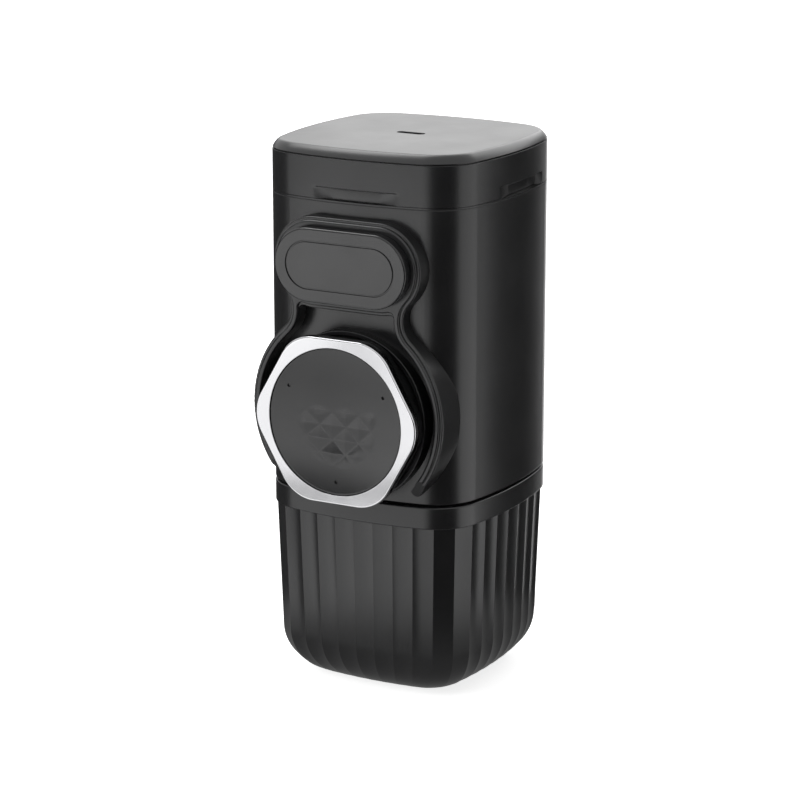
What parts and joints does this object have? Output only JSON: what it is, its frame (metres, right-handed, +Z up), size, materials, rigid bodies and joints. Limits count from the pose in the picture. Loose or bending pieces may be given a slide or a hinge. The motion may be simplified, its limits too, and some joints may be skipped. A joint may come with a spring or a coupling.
{
  "type": "pocket coffee maker",
  "caption": "Hand-pumped pocket coffee maker: a squared black body with a lidded water tank, a turn-and-pull pump knob in a raised guard, and a fluted cup over the filter holder.",
  "frame": {"origin": "middle of the flat base of the drinking cup, on the surface that the object stands on", "axes": "+Z up through the lid; -Y is the front, with the pump knob; +X is to the right seen from the front"},
  "size_m": [0.068, 0.0778, 0.1576],
  "materials": {
    "casing_black": "satin moulded ABS, fine even texture",
    "gloss_black": "smooth moulded ABS",
    "bright_ring": "bright plated",
    "inner_grey": "moulded glass-filled plastic",
    "tank_smoke": "smooth moulded plastic",
    "steel": "stainless",
    "silicone": "moulded silicone"
  },
  "bodies": {
    "cup": {"drinking_cup": "casing_black"},
    "machine": {"body_casing": "casing_black", "water_tank": "tank_smoke", "intake_strainer": "steel", "tank_gasket": "silicone", "guard_frame": "casing_black", "badge_plate": "gloss_black", "guard_screws": "steel", "pump_collar": "casing_black", "plunger_guide": "inner_grey", "plunger_spring": "steel", "pump_block": "inner_grey", "pump_end_cap": "inner_grey", "end_cap_seal": "silicone", "pump_screws": "steel", "inlet_seat": "inner_grey", "inlet_spring": "steel", "outlet_spring": "steel", "duct_seal": "silicone", "block_screws": "steel", "brew_head": "inner_grey", "casing_screws": "steel", "spigot_ring": "silicone", "shower_screen": "steel", "shower_screw": "steel", "group_gasket": "silicone"},
    "lid": {"top_lid": "casing_black", "lid_plug": "inner_grey", "lid_seal": "silicone", "vent_valve": "silicone"},
    "plunger": {"pump_plunger": "inner_grey", "plunger_seal": "silicone", "knob_screw": "steel"},
    "knob": {"knob_body": "casing_black", "knob_ring": "bright_ring", "knob_disc": "gloss_black"},
    "filter_holder": {"portafilter": "inner_grey", "outlet_nozzle": "inner_grey", "filter_basket": "steel"},
    "suction_ball": {"inlet_ball": "steel"},
    "pressure_ball": {"outlet_ball": "steel"}
  },
  "joints": [
    {"name": "body_lift", "type": "slide", "parent": "cup", "child": "machine", "axis": [0, 0, 1], "range_m": [0, 0.05]},
    {"name": "lid_lift", "type": "slide", "parent": "machine", "child": "lid", "axis": [0, 0, 1], "range_m": [0, 0.03]},
    {"name": "pump_stroke", "type": "slide", "parent": "machine", "child": "plunger", "axis": [0, -1, 0], "range_m": [0, 0.016], "deforming": ["plunger_spring"]},
    {"name": "knob_turn", "type": "hinge", "parent": "plunger", "child": "knob", "pos_m": [0, -0.0394, 0.0831], "axis": [0, -1, 0], "range_deg": [0, 60]},
    {"name": "filter_turn", "type": "hinge", "parent": "machine", "child": "filter_holder", "pos_m": [0, 0, 0.0547], "axis": [0, 0, 1], "range_deg": [0, 50]},
    {"name": "suction_lift", "type": "slide", "parent": "machine", "child": "suction_ball", "axis": [0, 0, -1], "range_m": [0, 0.0012], "stiffness_N_per_m": 60, "springref_m": -0.0008, "deforming": ["inlet_spring"]},
    {"name": "pressure_lift", "type": "slide", "parent": "machine", "child": "pressure_ball", "axis": [0, 0, -1], "range_m": [0, 0.0012], "stiffness_N_per_m": 60, "springref_m": -0.0008, "deforming": ["outlet_spring"]}
  ]
}
